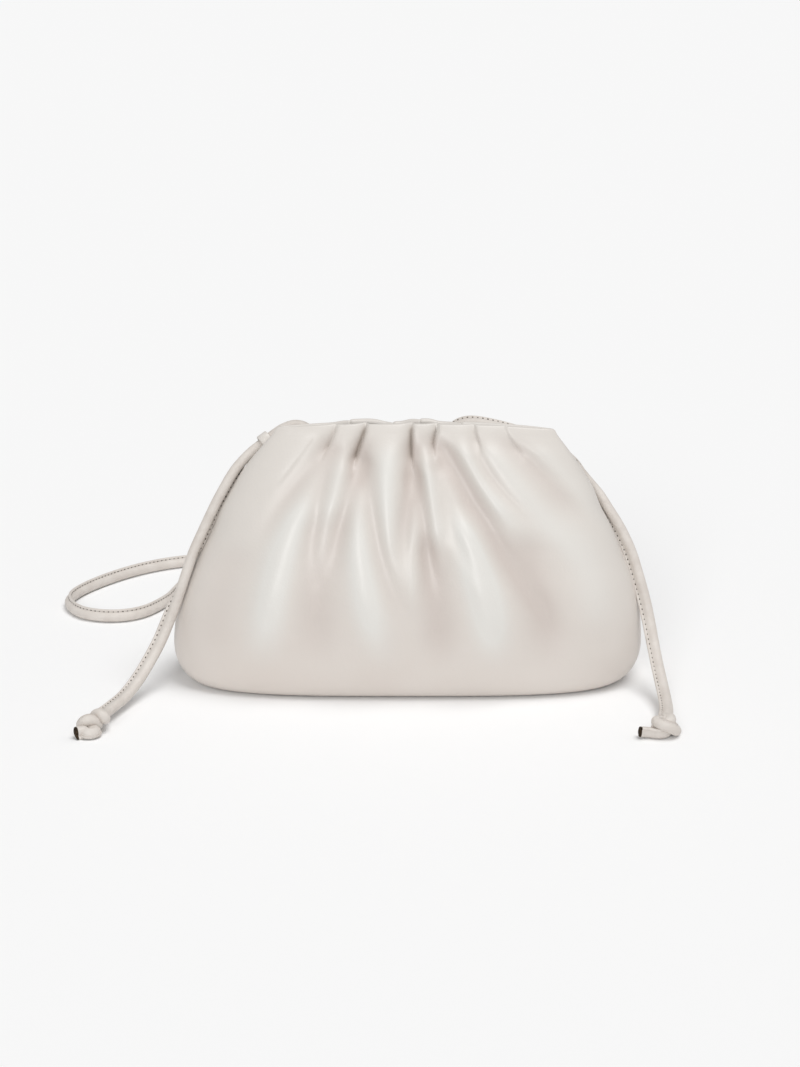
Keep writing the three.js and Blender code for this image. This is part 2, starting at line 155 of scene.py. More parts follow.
def smooth_route(points, per_span=24):
    """A centripetal Catmull-Rom curve through the points."""
    points = np.array(points, dtype=float)
    ends = (2 * points[0] - points[1], 2 * points[-1] - points[-2])
    padded = np.vstack([ends[0], points, ends[1]])
    share = np.linspace(0, 1, per_span, endpoint=False)[:, None]
    line = []
    for p0, p1, p2, p3 in zip(padded, padded[1:], padded[2:], padded[3:]):
        before, here, after = (np.linalg.norm(b - a) ** 0.5 for a, b in ((p0, p1), (p1, p2), (p2, p3)))
        start = ((p1 - p0) / before - (p2 - p0) / (before + here) + (p2 - p1) / here) * here
        end = ((p2 - p1) / here - (p3 - p1) / (here + after) + (p3 - p2) / after) * here
        rest = 2 * p1 - 2 * p2 + start + end
        bend = -3 * p1 + 3 * p2 - 2 * start - end
        line.append(p1 + share * start + share ** 2 * bend + share ** 3 * rest)
    return np.vstack([*line, points[-1:]])


def route_length(line):
    return float(np.linalg.norm(np.diff(line, axis=0), axis=1).sum())


def along_route(line, distances):
    """The places on a line at those distances from its start."""
    lengths = np.concatenate([[0], np.cumsum(np.linalg.norm(np.diff(line, axis=0), axis=1))])
    return np.stack([np.interp(distances, lengths, line[:, axis]) for axis in range(3)], axis=1)


def trimmed_route(points, start_gap, end_gap, step=CORD_STEP):
    line = smooth_route(points)
    whole = route_length(line)
    count = round((whole - start_gap - end_gap) / step) + 1
    return along_route(line, np.linspace(start_gap, whole - end_gap, count))


def flange_directions(line, table):
    """Directions square to the line, blended from the table's rows."""
    shares = np.linspace(0, 1, len(line))
    stops = [share for share, _ in table]
    wanted = np.stack([np.interp(shares, stops, [way[axis] for _, way in table]) for axis in range(3)], axis=1)
    tangents = unit(np.gradient(line, axis=0))
    return unit(wanted - tangents * (wanted * tangents).sum(axis=1, keepdims=True))


def carried_directions(line, first):
    """One direction carried along the line without twisting."""
    tangents = unit(np.gradient(line, axis=0))
    ways = [first]
    for tangent in tangents:
        way = ways[-1] - tangent * np.dot(ways[-1], tangent)
        ways.append(way / np.linalg.norm(way))
    return np.array(ways[1:])


def cord_section(flange=1.0, core=CORE_RADIUS):
    """The outline of the cord's section, as (towards the flange, across). The flange share presses it down."""
    open_angle = math.radians(32)
    turns = np.linspace(open_angle, 2 * math.pi - open_angle, 19)
    round_part = np.stack([np.cos(turns), np.sin(turns)], axis=1) * core
    neck = core + (NECK_REACH - CORE_RADIUS) * flange
    reach = core + (FLANGE_REACH - CORE_RADIUS) * flange
    flange_part = np.array([
        (neck, -NECK_HALF), ((neck + reach) / 2, -FLANGE_HALF), (reach - FLANGE_HALF / 2, -FLANGE_HALF * 0.9),
        (reach, 0.0),
        (reach - FLANGE_HALF / 2, FLANGE_HALF * 0.9), ((neck + reach) / 2, FLANGE_HALF), (neck, NECK_HALF),
    ])
    return np.vstack([round_part, flange_part])


def swept(line, ways, sections):
    """Vertices and faces of a closed tube: one section outline at each point of the line."""
    tangents = unit(np.gradient(line, axis=0))
    sides = np.cross(tangents, ways)
    rings = line[:, None] + sections[:, :, :1] * ways[:, None] + sections[:, :, 1:] * sides[:, None]
    count = rings.shape[1]
    vertices = np.vstack([rings.reshape(-1, 3), line[:1], line[-1:]])
    faces = grid_faces(len(line), count)
    start, end = len(vertices) - 2, len(vertices) - 1
    last = (len(line) - 1) * count
    for i in range(count):
        j = (i + 1) % count
        faces.append((start, j, i))
        faces.append((end, last + i, last + j))
    return vertices, faces


def grid_faces(rings, count):
    """Quads between closed rings that follow each other."""
    faces = []
    for ring in range(rings - 1):
        for i in range(count):
            j = (i + 1) % count
            a, b = ring * count + i, ring * count + j
            faces.append((a, b, b + count, a + count))
    return faces


def make_piece(name, vertices, faces, materials, smooth_angle=math.radians(50)):
    mesh = bpy.data.meshes.new(name)
    mesh.from_pydata([tuple(v) for v in vertices], [], faces)
    mesh.validate()
    for material in materials:
        mesh.materials.append(material)
    piece = bpy.data.objects.new(name, mesh)
    bpy.context.scene.collection.objects.link(piece)
    mesh.shade_smooth()
    mesh.set_sharp_from_angle(angle=smooth_angle)
    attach(piece, "root")
    return piece


def new_material(name, colour, roughness, specular=0.5):
    """A material with a principled shader whose even values are set on its own sockets."""
    material = bpy.data.materials.new(name)
    material.use_nodes = True
    shader = material.node_tree.nodes["Principled BSDF"]
    shader.inputs["Base Color"].default_value = (*colour, 1)
    shader.inputs["Roughness"].default_value = roughness
    shader.inputs["Specular IOR Level"].default_value = specular
    return material, material.node_tree, shader


def add_node(tree, kind, **values):
    """A shader node whose inputs and settings are given by name, with _ for a space in an input's name."""
    node = tree.nodes.new(kind)
    for key, value in values.items():
        socket = node.inputs.get(key.replace("_", " "))
        if socket is not None:
            socket.default_value = value
        else:
            setattr(node, key, value)
    return node


def colour_patches(tree, shader, coordinates, light, dark, size):
    """Soft patches between two close colours."""
    noise = add_node(tree, "ShaderNodeTexNoise", Scale=1 / size, Detail=3.0, Roughness=0.55)
    ramp = tree.nodes.new("ShaderNodeValToRGB")
    ramp.color_ramp.elements[0].position = 0.35
    ramp.color_ramp.elements[0].color = (*dark, 1)
    ramp.color_ramp.elements[1].position = 0.65
    ramp.color_ramp.elements[1].color = (*light, 1)
    tree.links.new(coordinates, noise.inputs["Vector"])
    tree.links.new(noise.outputs["Fac"], ramp.inputs["Fac"])
    tree.links.new(ramp.outputs["Color"], shader.inputs["Base Color"])


def rough_patches(tree, shader, coordinates, low, high, size):
    """Roughness that wanders between two values."""
    noise = add_node(tree, "ShaderNodeTexNoise", Scale=1 / size, Detail=2.0)
    spread = add_node(tree, "ShaderNodeMapRange")
    spread.inputs["To Min"].default_value = low
    spread.inputs["To Max"].default_value = high
    tree.links.new(coordinates, noise.inputs["Vector"])
    tree.links.new(noise.outputs["Fac"], spread.inputs["Value"])
    tree.links.new(spread.outputs["Result"], shader.inputs["Roughness"])


def leather_grain(tree, shader, coordinates, cell, depth, crease_size, crease_depth):
    """Fine pebbled grain with faint broad creasing under it, as bump."""
    pebble = add_node(tree, "ShaderNodeTexVoronoi", Scale=1 / cell, feature="SMOOTH_F1")
    wander = add_node(tree, "ShaderNodeTexNoise", Scale=1 / crease_size, Detail=6.0, Roughness=0.6)
    coarse = add_node(tree, "ShaderNodeBump", Strength=1.0, Distance=crease_depth)
    fine = add_node(tree, "ShaderNodeBump", Strength=1.0, Distance=depth)
    fine.invert = True
    tree.links.new(coordinates, pebble.inputs["Vector"])
    tree.links.new(coordinates, wander.inputs["Vector"])
    tree.links.new(wander.outputs["Fac"], coarse.inputs["Height"])
    tree.links.new(pebble.outputs["Distance"], fine.inputs["Height"])
    tree.links.new(coarse.outputs["Normal"], fine.inputs["Normal"])
    tree.links.new(fine.outputs["Normal"], shader.inputs["Normal"])


def object_coordinates(tree):
    return tree.nodes.new("ShaderNodeTexCoord").outputs["Object"]


# How deep a ridge or a valley is where its painted light is full (a painted highlight on a ridge, painted
# shade in a valley), and how much of the leather's colour the painted light of the folds and the painted shade
# of the creases take
RIDGE_DEPTH = 0.0020
VALLEY_DEPTH = 0.0030
FOLD_LIGHT_SHARE = 0.85
CREASE_SHADE_SHARE = 0.7
# The heights between which the leather turns paler: painted light from above, so that the lower belly, which
# faces the floor, keeps a darker, pinker painted shade
TOP_LIGHT_FROM = 0.012
TOP_LIGHT_TO = 0.075
# The tones painted in: a paler tone up the pouch for light from above, a painted highlight on the ridges,
# painted shade in the valleys and a dark painted shade in the creases
TOP_LIGHT_TONE = (0.686, 0.648, 0.606)
RIDGE_HIGHLIGHT_TONE = (0.745, 0.732, 0.698)
VALLEY_SHADE_TONE = (0.590, 0.524, 0.484)
CREASE_SHADE_TONE = (0.260, 0.215, 0.175)


def share_between(tree, value, none_at, full_at, full):
    """A node's value as a share: nothing at one value, rising to the full share at another."""
    spread = add_node(tree, "ShaderNodeMapRange")
    spread.inputs["From Min"].default_value = none_at
    spread.inputs["From Max"].default_value = full_at
    spread.inputs["To Max"].default_value = full
    tree.links.new(value, spread.inputs["Value"])
    return spread.outputs["Result"]


def paint_light_and_shade(tree, shader, share, tone):
    """Turns the leather's colour towards a tone by a share, painting light or shade into it."""
    mix = tree.nodes.new("ShaderNodeMix")
    mix.data_type = "RGBA"
    first_colour, second_colour, result = mix.inputs[6], mix.inputs[7], mix.outputs[2]
    tree.links.new(share, mix.inputs["Factor"])
    tree.links.new(shader.inputs["Base Color"].links[0].from_socket, first_colour)
    second_colour.default_value = (*tone, 1)
    tree.links.new(result, shader.inputs["Base Color"])


def stored(tree, name):
    """The value that the pouch's mesh stores at each point under a name."""
    attribute = tree.nodes.new("ShaderNodeAttribute")
    attribute.attribute_name = name
    return attribute.outputs["Fac"]


def smooth_leather():
    material, tree, shader = new_material("cream smooth leather", (0.755, 0.700, 0.655), 0.45, 0.5)
    coordinates = object_coordinates(tree)
    colour_patches(tree, shader, coordinates, (0.690, 0.638, 0.594), (0.668, 0.610, 0.564), 0.05)
    split = tree.nodes.new("ShaderNodeSeparateXYZ")
    tree.links.new(coordinates, split.inputs["Vector"])
    height, pressed, crease_shade = split.outputs["Z"], stored(tree, "pressed"), stored(tree, "crease_shade")
    # Painted light and shade: the leather turns paler up the pouch, paler still on the ridges as a painted
    # highlight, darker and pinker in the valleys and darkest in the creases as painted shade
    for value, none_at, full_at, full, tone in (
        (height, TOP_LIGHT_FROM, TOP_LIGHT_TO, 1, TOP_LIGHT_TONE),
        (pressed, 0, -RIDGE_DEPTH, FOLD_LIGHT_SHARE, RIDGE_HIGHLIGHT_TONE),
        (pressed, 0, VALLEY_DEPTH, FOLD_LIGHT_SHARE, VALLEY_SHADE_TONE),
        (crease_shade, 0, 1, CREASE_SHADE_SHARE, CREASE_SHADE_TONE),
    ):
        paint_light_and_shade(tree, shader, share_between(tree, value, none_at, full_at, full), tone)
    rough_patches(tree, shader, coordinates, 0.34, 0.46, 0.02)
    leather_grain(tree, shader, coordinates, 0.0009, 0.00003, 0.006, 0.00012)
    return material


def inner_leather():
    material, tree, shader = new_material("inside of the leather", (0.66, 0.62, 0.57), 0.85, 0.2)
    coordinates = object_coordinates(tree)
    colour_patches(tree, shader, coordinates, (0.68, 0.64, 0.59), (0.62, 0.58, 0.53), 0.004)
    leather_grain(tree, shader, coordinates, 0.0005, 0.00008, 0.003, 0.0002)
    return material


def cord_leather():
    material, tree, shader = new_material("cream cord leather", (0.72, 0.67, 0.62), 0.5, 0.4)
    coordinates = object_coordinates(tree)
    colour_patches(tree, shader, coordinates, (0.69, 0.645, 0.60), (0.635, 0.585, 0.54), 0.006)
    rough_patches(tree, shader, coordinates, 0.42, 0.6, 0.004)
    leather_grain(tree, shader, coordinates, 0.0007, 0.00005, 0.0016, 0.0003)
    return material


def cut_core():
    material, tree, shader = new_material("dark cut core", (0.035, 0.022, 0.012), 0.85, 0.2)
    coordinates = object_coordinates(tree)
    colour_patches(tree, shader, coordinates, (0.075, 0.048, 0.027), (0.012, 0.008, 0.005), 0.0009)
    leather_grain(tree, shader, coordinates, 0.0004, 0.0003, 0.0008, 0.0004)
    return material


def waxed_thread():
    material, tree, shader = new_material("waxed cream thread", (0.62, 0.58, 0.53), 0.45, 0.4)
    coordinates = object_coordinates(tree)
    colour_patches(tree, shader, coordinates, (0.66, 0.62, 0.57), (0.55, 0.51, 0.46), 0.0008)
    leather_grain(tree, shader, coordinates, 0.00025, 0.00006, 0.0008, 0.0001)
    return material


def needle_shade():
    material, tree, shader = new_material("shade in the needle holes", (0.10, 0.085, 0.07), 0.9, 0.1)
    coordinates = object_coordinates(tree)
    colour_patches(tree, shader, coordinates, (0.13, 0.11, 0.09), (0.07, 0.055, 0.045), 0.002)
    return material


LEATHER = smooth_leather()
INSIDE = inner_leather()
CORD_LEATHER = cord_leather()
CORE = cut_core()
THREAD = waxed_thread()
NEEDLE_SHADE = needle_shade()


def make_cord(name, line, ways, node):
    sections = np.repeat(cord_section()[None], len(line), axis=0)
    vertices, faces = swept(line, ways, sections)
    piece = make_piece(name, vertices, faces, [CORD_LEATHER], math.radians(60))
    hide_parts(node)
    return piece


strap_line = trimmed_route(STRAP_ROUTE, FIT_GAP / 2, FIT_GAP / 2)
left_line = trimmed_route(LEFT_END_ROUTE, FIT_GAP / 2, 0)
right_line = trimmed_route(RIGHT_END_ROUTE, FIT_GAP / 2, 0)
strap_ways = flange_directions(strap_line, STRAP_FLANGE)
left_ways = flange_directions(left_line, LEFT_FLANGE)
right_ways = flange_directions(right_line, RIGHT_FLANGE)
strap = make_cord("strap", strap_line, strap_ways, "strap_cord")
left_end = make_cord("free_end_left", left_line, left_ways, "end_cord_left")
right_end = make_cord("free_end_right", right_line, right_ways, "end_cord_right")


def knot_start(centre, back, tail):
    """A loose overhand knot between where the cord enters and where its tail ends."""
    turn = np.linspace(0.04, 0.96, KNOT_LOOP_NODES) * 2 * math.pi
    radius = LOOSE_RADIUS + LOOSE_WAVER * np.cos(3 * turn)
    rise = LOOSE_RISE * np.sin(3 * turn)
    middle = np.stack([radius * np.cos(2 * turn), radius * np.sin(2 * turn), rise], axis=1)
    across = unit(back - tail)
    up = np.array([0, 0, 1.0])
    out = unit(np.cross(across, up))
    facing = np.stack([out, -across, up])
    middle = centre + middle @ facing
    entry = centre + back * KNOT_ENTRY_REACH
    end = centre + tail * KNOT_TAIL_REACH
    share = np.linspace(0, 1, KNOT_LEAD_NODES, endpoint=False)[:, None]
    return np.vstack([entry + (middle[0] - entry) * share, middle, end + (middle[-1] - end) * share[::-1]])


def turned(points, centre, axis, angle):
    """Points turned about an axis through a centre."""
    arms = points - centre
    return (centre + arms * math.cos(angle) + np.cross(axis, arms) * math.sin(angle)
            + np.outer(arms @ axis, axis) * (1 - math.cos(angle)))


def draw_tight(line, centre, thick, length, highest, rounds=150, passes=10):
    """Draws a loose knot tight: its cord keeps even, is pushed out of itself, and its two ends stay put."""
    line = line.copy()
    way_out = unit(line[-1] - line[-2]) * length / (len(line) - 1)
    line[-TAIL_NODES:] = line[-1] - np.outer(np.arange(TAIL_NODES)[::-1], way_out)
    held = np.r_[0:2, len(line) - TAIL_NODES:len(line)]
    fixed = line[held].copy()
    order = np.arange(len(line))
    apart = np.abs(order[:, None] - order[None])
    free = np.clip(np.minimum(order, order[::-1]) / (0.25 * len(line)), 0, 1)[:, None]
    loose = route_length(line)
    for done in range(rounds):
        drawn = min(done / (rounds * 0.8), 1)
        spacing = (loose + (length - loose) * drawn) / (len(line) - 1)
        neighbours = math.ceil(1.6 * thick / spacing)
        for _ in range(passes):
            for start in (0, 1):
                step = line[start + 1::2] - line[start:-1:2]
                size = np.linalg.norm(step, axis=1, keepdims=True)
                shift = step * (0.5 * (1 - spacing / size))
                line[start:-1:2] += shift
                line[start + 1::2] -= shift
            away = line[:, None] - line[None]
            gaps = np.linalg.norm(away, axis=2) + np.eye(len(line))
            near = (apart > neighbours) & (gaps < thick)
            push = np.where(near, (thick - gaps) / gaps, 0)
            line += 0.35 * (away * push[:, :, None]).sum(axis=1) / np.maximum(near.sum(axis=1), 1)[:, None]
            line[1:-1] += 0.1 * (line[:-2] + line[2:] - 2 * line[1:-1]) / 2
            middle = line[len(line) // 4:-len(line) // 4].mean(axis=0)
            line += free * 0.15 * (centre - middle) * (1, 1, 0.3)
            line[:, 2] = np.clip(line[:, 2], thick / 2 + KNOT_CLEARANCE, highest)
            line[held] = fixed
    return line


def make_knot(side, route, last_way):
    """The knot, the short tail that leaves it and the dark core at the tail's cut end."""
    tail_turn, tail_dip, lie, thick, length, highest, shift = KNOTS[side]
    end = np.array(route[-1])
    ahead = unit(end - np.array(route[-2]))
    centre = end + ahead * (KNOT_ENTRY_REACH + FIT_GAP)
    tail = unit(np.array([math.cos(tail_turn), math.sin(tail_turn), -tail_dip]))
    loose = knot_start(centre, -ahead, tail)
    loose[2:-2] = turned(loose[2:-2], centre, unit(tail + ahead), lie)
    tight = draw_tight(loose, centre + shift * tail, thick, length, highest)
    line = smooth_route(tight[[0, *range(2, len(tight) - 2, 2), -1]], 6)
    line = along_route(line, np.linspace(0, route_length(line), 110))
    ways = carried_directions(line, last_way)
    share = np.linspace(0, 1, len(line))
    pressed = np.interp(share, [0, 0.08, 0.2, 0.85, 0.95, 1], [1, 0.9, 0.35, 0.35, 0.8, 0.9])
    sections = np.stack([cord_section(press) for press in pressed])
    vertices, faces = swept(line, ways, sections)
    knot = make_piece(f"overhand_knot_{side}", vertices, faces, [CORD_LEATHER], math.radians(60))
    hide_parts(f"knot_{side}")
    core = make_cut_end(side, line[-1], unit(line[-1] - line[-3]), ways[-1])
    return knot, core


CUT_THICKNESS = 0.0013
CUT_SIZES = np.array([0.9, 0.97, 0.98, 0.96, 0.88, 0.6, 0.25])
CUT_SEEDS = {"left": 7, "right": 8}


def make_cut_end(side, place, ahead, way):
    """The dark core that shows at the cut end: uneven, and a little inside the leather round it."""
    rings = len(CUT_SIZES)
    outline = cord_section(0.9)
    shares = np.linspace(0, 1, rings)
    line = place + np.outer(shares * CUT_THICKNESS, ahead)
    ragged = np.random.default_rng(CUT_SEEDS[side]).uniform(0.94, 1.03, (rings, len(outline), 1))
    sections = outline[None] * CUT_SIZES[:, None, None] * ragged
    vertices, faces = swept(line, np.repeat(way[None], rings, axis=0), sections)
    piece = make_piece(f"cut_end_{side}", vertices, faces, [CORE], math.radians(30))
    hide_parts(f"end_cap_{side}")
    return piece


left_knot, left_cut = make_knot("left", LEFT_END_ROUTE, left_ways[-1])
right_knot, right_cut = make_knot("right", RIGHT_END_ROUTE, right_ways[-1])

# The pouch. Its tables are those of the solid: shares of its half width, half depth and height.
POUCH_HALF_WIDTH = 0.110
POUCH_DEPTH = 0.084
POUCH_HALF_DEPTH = POUCH_DEPTH / 2
POUCH_HEIGHT = 0.1225
LEATHER_WALL = 0.0018
BASE_WALL = 0.0024
RIM_WALL = 0.004
RIM_THICKENING = 0.022
MOUTH_GAP = 0.0062
RIM_END_LEFT = 0.061
RIM_END_RIGHT = 0.0684
RIM_DROP_LEFT = 0.003
RIM_DROP_RIGHT = 0.0042
RIM_DROP_BACK = 0.0012
RIM_DROP_BOW = 2.5
RIM_DROP_REACH = 8
RIM_BEAD_HEIGHT = POUCH_HEIGHT - RIM_WALL / 2

# Level outlines, with columns up, left, right, deep and square
OUTLINES = np.array([
    (0.000, 0.866, 0.852, 0.750, 3.50),
    (0.010, 0.906, 0.894, 0.852, 3.45),
    (0.033, 0.946, 0.942, 0.908, 3.35),
    (0.073, 0.982, 0.980, 0.952, 3.15),
    (0.130, 1.000, 1.000, 0.980, 2.90),
    (0.212, 0.995, 0.999, 0.996, 2.70),
    (0.310, 0.980, 0.988, 1.000, 2.50),
    (0.408, 0.937, 0.958, 0.967, 2.40),
    (0.498, 0.886, 0.912, 0.900, 2.30),
    (0.588, 0.830, 0.866, 0.810, 2.25),
    (0.669, 0.790, 0.818, 0.702, 2.20),
    (0.751, 0.736, 0.780, 0.583, 2.15),
    (0.824, 0.688, 0.732, 0.464, 2.10),
    (0.890, 0.634, 0.687, 0.352, 2.10),
    (0.939, 0.592, 0.652, 0.262, 2.10),
    (RIM_BEAD_HEIGHT / POUCH_HEIGHT, RIM_END_LEFT / POUCH_HALF_WIDTH, RIM_END_RIGHT / POUCH_HALF_WIDTH,
     (MOUTH_GAP / 2 + RIM_WALL) / POUCH_HALF_DEPTH, 2.10),
])
UP, LEFT, RIGHT, DEEP, SQUARE = range(5)

# Folds, with columns face, top across and up, bend across and up, foot across and up, depth and width.
# A depth above 0 is a valley, and below 0 a ridge.
FRONT, BACK = -1, 1
FOLDS = [
    (FRONT, -0.29, 0.99, -0.43, 0.82, -0.58, 0.62, 0.040, 0.054),
    (FRONT, -0.30, 0.92, -0.35, 0.78, -0.41, 0.55, 0.024, 0.045),
    (FRONT, -0.17, 0.99, -0.21, 0.86, -0.29, 0.56, 0.042, 0.045),
    (FRONT, -0.19, 0.88, -0.15, 0.70, -0.04, 0.38, 0.034, 0.050),
    (FRONT, 0.02, 0.99, 0.02, 0.86, -0.03, 0.58, 0.042, 0.043),
    (FRONT, 0.03, 0.84, 0.06, 0.70, 0.08, 0.46, 0.030, 0.044),
    (FRONT, 0.11, 0.97, 0.20, 0.83, 0.56, 0.33, 0.048, 0.062),
    (FRONT, 0.12, 0.85, 0.16, 0.72, 0.27, 0.50, 0.022, 0.040),
    (FRONT, 0.27, 0.99, 0.31, 0.86, 0.46, 0.71, 0.026, 0.036),
    (FRONT, 0.40, 0.97, 0.56, 0.82, 0.78, 0.60, 0.036, 0.064),
    (FRONT, -0.37, 0.92, -0.48, 0.68, -0.62, 0.26, -0.020, 0.058),
    (FRONT, 0.11, 0.84, 0.23, 0.62, 0.35, 0.24, -0.022, 0.064),
    (FRONT, 0.33, 0.92, 0.52, 0.72, 0.72, 0.50, -0.018, 0.058),
    (BACK, -0.40, 0.98, -0.50, 0.80, -0.62, 0.56, 0.026, 0.055),
    (BACK, -0.24, 0.99, -0.28, 0.82, -0.36, 0.48, 0.030, 0.045),
    (BACK, -0.06, 0.99, -0.09, 0.80, -0.16, 0.44, 0.028, 0.045),
    (BACK, 0.05, 0.99, 0.06, 0.82, 0.05, 0.55, 0.026, 0.040),
    (BACK, 0.22, 0.98, 0.28, 0.80, 0.38, 0.46, 0.030, 0.050),
    (BACK, 0.40, 0.98, 0.50, 0.82, 0.66, 0.58, 0.026, 0.055),
]
# Softer swells and hollows between the folds, with the same columns
SWELLS = [
    (FRONT, -0.25, 0.94, -0.32, 0.74, -0.37, 0.44, -0.023, 0.042),
    (FRONT, -0.21, 0.88, -0.19, 0.52, -0.09, 0.10, -0.034, 0.066),
    (FRONT, -0.07, 0.98, -0.09, 0.70, -0.02, 0.36, -0.026, 0.044),
    (FRONT, 0.02, 0.82, 0.03, 0.58, 0.02, 0.32, -0.019, 0.032),
    (FRONT, 0.05, 0.96, 0.10, 0.72, 0.13, 0.46, -0.019, 0.028),
    (FRONT, 0.20, 0.97, 0.30, 0.82, 0.48, 0.60, -0.026, 0.044),
    (FRONT, 0.48, 0.97, 0.64, 0.83, 0.84, 0.58, -0.021, 0.055),
    (FRONT, 0.20, 0.74, 0.31, 0.46, 0.35, 0.12, -0.033, 0.075),
    (FRONT, -0.40, 0.80, -0.54, 0.44, -0.60, 0.10, -0.028, 0.080),
    (FRONT, 0.66, 0.74, 0.76, 0.50, 0.80, 0.20, -0.019, 0.090),
    (FRONT, 0.08, 0.66, 0.12, 0.36, 0.14, 0.08, 0.034, 0.070),
    (FRONT, -0.32, 0.74, -0.38, 0.40, -0.36, 0.08, 0.030, 0.090),
    (FRONT, 0.46, 0.66, 0.56, 0.36, 0.58, 0.08, 0.034, 0.085),
    (FRONT, -0.70, 0.60, -0.80, 0.34, -0.82, 0.10, 0.019, 0.085),
]
FOLD_FADE_BELOW = 0.25
FOLD_FADE_ABOVE = 0.45
FOLD_TOP_FADE = 0.04
SWELL_FADE = 0.38
RIM_STIFF_FROM = 0.9
RIM_STIFF_TO = 0.98
RIM_STIFFNESS = 0.8

# Sharp creases where the leather doubles at the mouth, with columns face, top across and up, bend across
# and up, foot across and up, depth in metres, and the widths of the edge and of the slope beside it
CREASES = [
    (FRONT, -0.29, 1.00, -0.31, 0.96, -0.35, 0.89, 0.0030, 0.0005, 0.0046),
    (FRONT, -0.165, 1.00, -0.185, 0.95, -0.22, 0.86, 0.0042, 0.0005, 0.0044),
    (FRONT, 0.020, 1.00, 0.018, 0.95, 0.020, 0.86, 0.0038, 0.0005, 0.0042),
    (FRONT, 0.125, 0.985, 0.112, 0.95, 0.11, 0.90, 0.0036, 0.0005, 0.0036),
    (FRONT, 0.275, 0.99, 0.285, 0.965, 0.300, 0.92, 0.0026, 0.0005, 0.0034),
    (FRONT, 0.40, 0.99, 0.43, 0.95, 0.48, 0.89, 0.0014, 0.0006, 0.0050),
    (FRONT, -0.40, 0.95, -0.46, 0.88, -0.53, 0.80, 0.0008, 0.0008, 0.0050),
    (BACK, -0.24, 1.00, -0.25, 0.95, -0.27, 0.88, 0.0026, 0.0005, 0.0036),
    (BACK, -0.06, 1.00, -0.065, 0.95, -0.075, 0.88, 0.0030, 0.0005, 0.0036),
    (BACK, 0.05, 1.00, 0.052, 0.95, 0.057, 0.89, 0.0022, 0.0005, 0.0030),
    (BACK, 0.22, 1.00, 0.23, 0.95, 0.25, 0.88, 0.0028, 0.0005, 0.0036),
]

CREASE_FOOT_FADE = 0.03
CREASE_TOP_FADE = 0.02
# How deep a crease is where its painted shade is full, and how narrow that painted shade is
CREASE_SHADE_FULL = 0.0034
CREASE_SHADE_NARROW = 5

# Where the back of the rim stands a little higher, with columns middle, half length and height
REAR_TABS = [(-0.022, 0.010, 0.0015), (0.006, 0.007, 0.0015)]

# How finely the visible skin is made
COLUMNS = 560
COLUMNS_TO_MIDDLE = 0.25
OUTER_RINGS = 118
RIM_RINGS = 8
INNER_RINGS = 26

# The outside runs smoothly into the rim's bead: how far below the bead it stops, and where the bead begins
RIM_BLEND = 0.0014
RIM_FIRST_ROLL = math.radians(42)


def smoothstep(value, low, high):
    share = np.clip((value - low) / (high - low), 0, 1)
    return share * share * (3 - 2 * share)


def table_value(column, up):
    """A smooth value between the rows of the outline table."""
    ups, values = OUTLINES[:, UP], OUTLINES[:, column]
    last = len(ups) - 1
    before, after = np.maximum(np.arange(last + 1) - 1, 0), np.minimum(np.arange(last + 1) + 1, last)
    slopes = (values[after] - values[before]) / (ups[after] - ups[before])
    row = np.clip(np.searchsorted(ups[1:], up), 0, last - 1)
    span = ups[row + 1] - ups[row]
    share = np.clip((up - ups[row]) / span, 0, 1)
    square, cube = share ** 2, share ** 3
    return (values[row] * (2 * cube - 3 * square + 1) + values[row + 1] * (3 * square - 2 * cube)
            + slopes[row] * span * (cube - 2 * square + share) + slopes[row + 1] * span * (cube - square))


def across_at(line, up):
    """How far across a fold's line is at a height: a parabola through its top, bend and foot."""
    top_across, a, bend_across, b, foot_across, c = line
    return (top_across * ((up - b) * (up - c)) / ((a - b) * (a - c))
            + bend_across * ((up - a) * (up - c)) / ((b - a) * (b - c))
            + foot_across * ((up - a) * (up - b)) / ((c - a) * (c - b)))


def line_press(face, across, up, row, heights):
    """How far one line presses: none outside the outer two of four heights, and full between the inner two."""
    side, *line, depth, width = row
    lowest, full_from, full_to, highest = heights
    along = smoothstep(up, lowest, full_from) * (1 - smoothstep(up, full_to, highest))
    aside = (across - across_at(line, np.clip(up, lowest, highest))) / width
    return np.where(face == side, depth * along * np.exp(-aside * aside), 0)


def fold_press(face, across, up):
    """How far the folds, and the softer swells between them, press the leather in."""
    give = 1 - RIM_STIFFNESS * smoothstep(up, RIM_STIFF_FROM, RIM_STIFF_TO)
    press = np.zeros(np.broadcast(across, up).shape)
    for row in FOLDS:
        top, foot = row[2], row[6]
        length = top - foot
        heights = (foot - FOLD_FADE_BELOW * length, foot + FOLD_FADE_ABOVE * length,
                   top - FOLD_TOP_FADE / 2, top + FOLD_TOP_FADE)
        press += line_press(face, across, up, row, heights)
    for row in SWELLS:
        top, foot = row[2], row[6]
        length = top - foot
        heights = (foot, foot + SWELL_FADE * length, top - SWELL_FADE / 2 * length, top)
        press += line_press(face, across, up, row, heights)
    return press * give * POUCH_DEPTH


def crease_press(face, x, up):
    """How far the sharp creases press it in: steep on one side, and a slope on the other."""
    press = np.zeros(np.broadcast(x, up).shape)
    for side, *line, depth, edge, slope in CREASES:
        top_up, foot_up = line[1], line[5]
        along = smoothstep(up, foot_up - CREASE_FOOT_FADE, foot_up + CREASE_FOOT_FADE)
        along = along * (1 - smoothstep(up, top_up, top_up + CREASE_TOP_FADE))
        aside = x - across_at(line, np.clip(up, foot_up - CREASE_FOOT_FADE, top_up)) * POUCH_HALF_WIDTH
        shape = np.where(aside < 0, np.exp(aside / slope), np.exp(-aside / edge))
        press += np.where(face == side, depth * along * shape, 0)
    return press


def half_width_at(turn, up):
    """How far out the pouch's end reaches, on the side that each turn is on."""
    return np.where(np.cos(turn) < 0, table_value(LEFT, up), table_value(RIGHT, up)) * POUCH_HALF_WIDTH


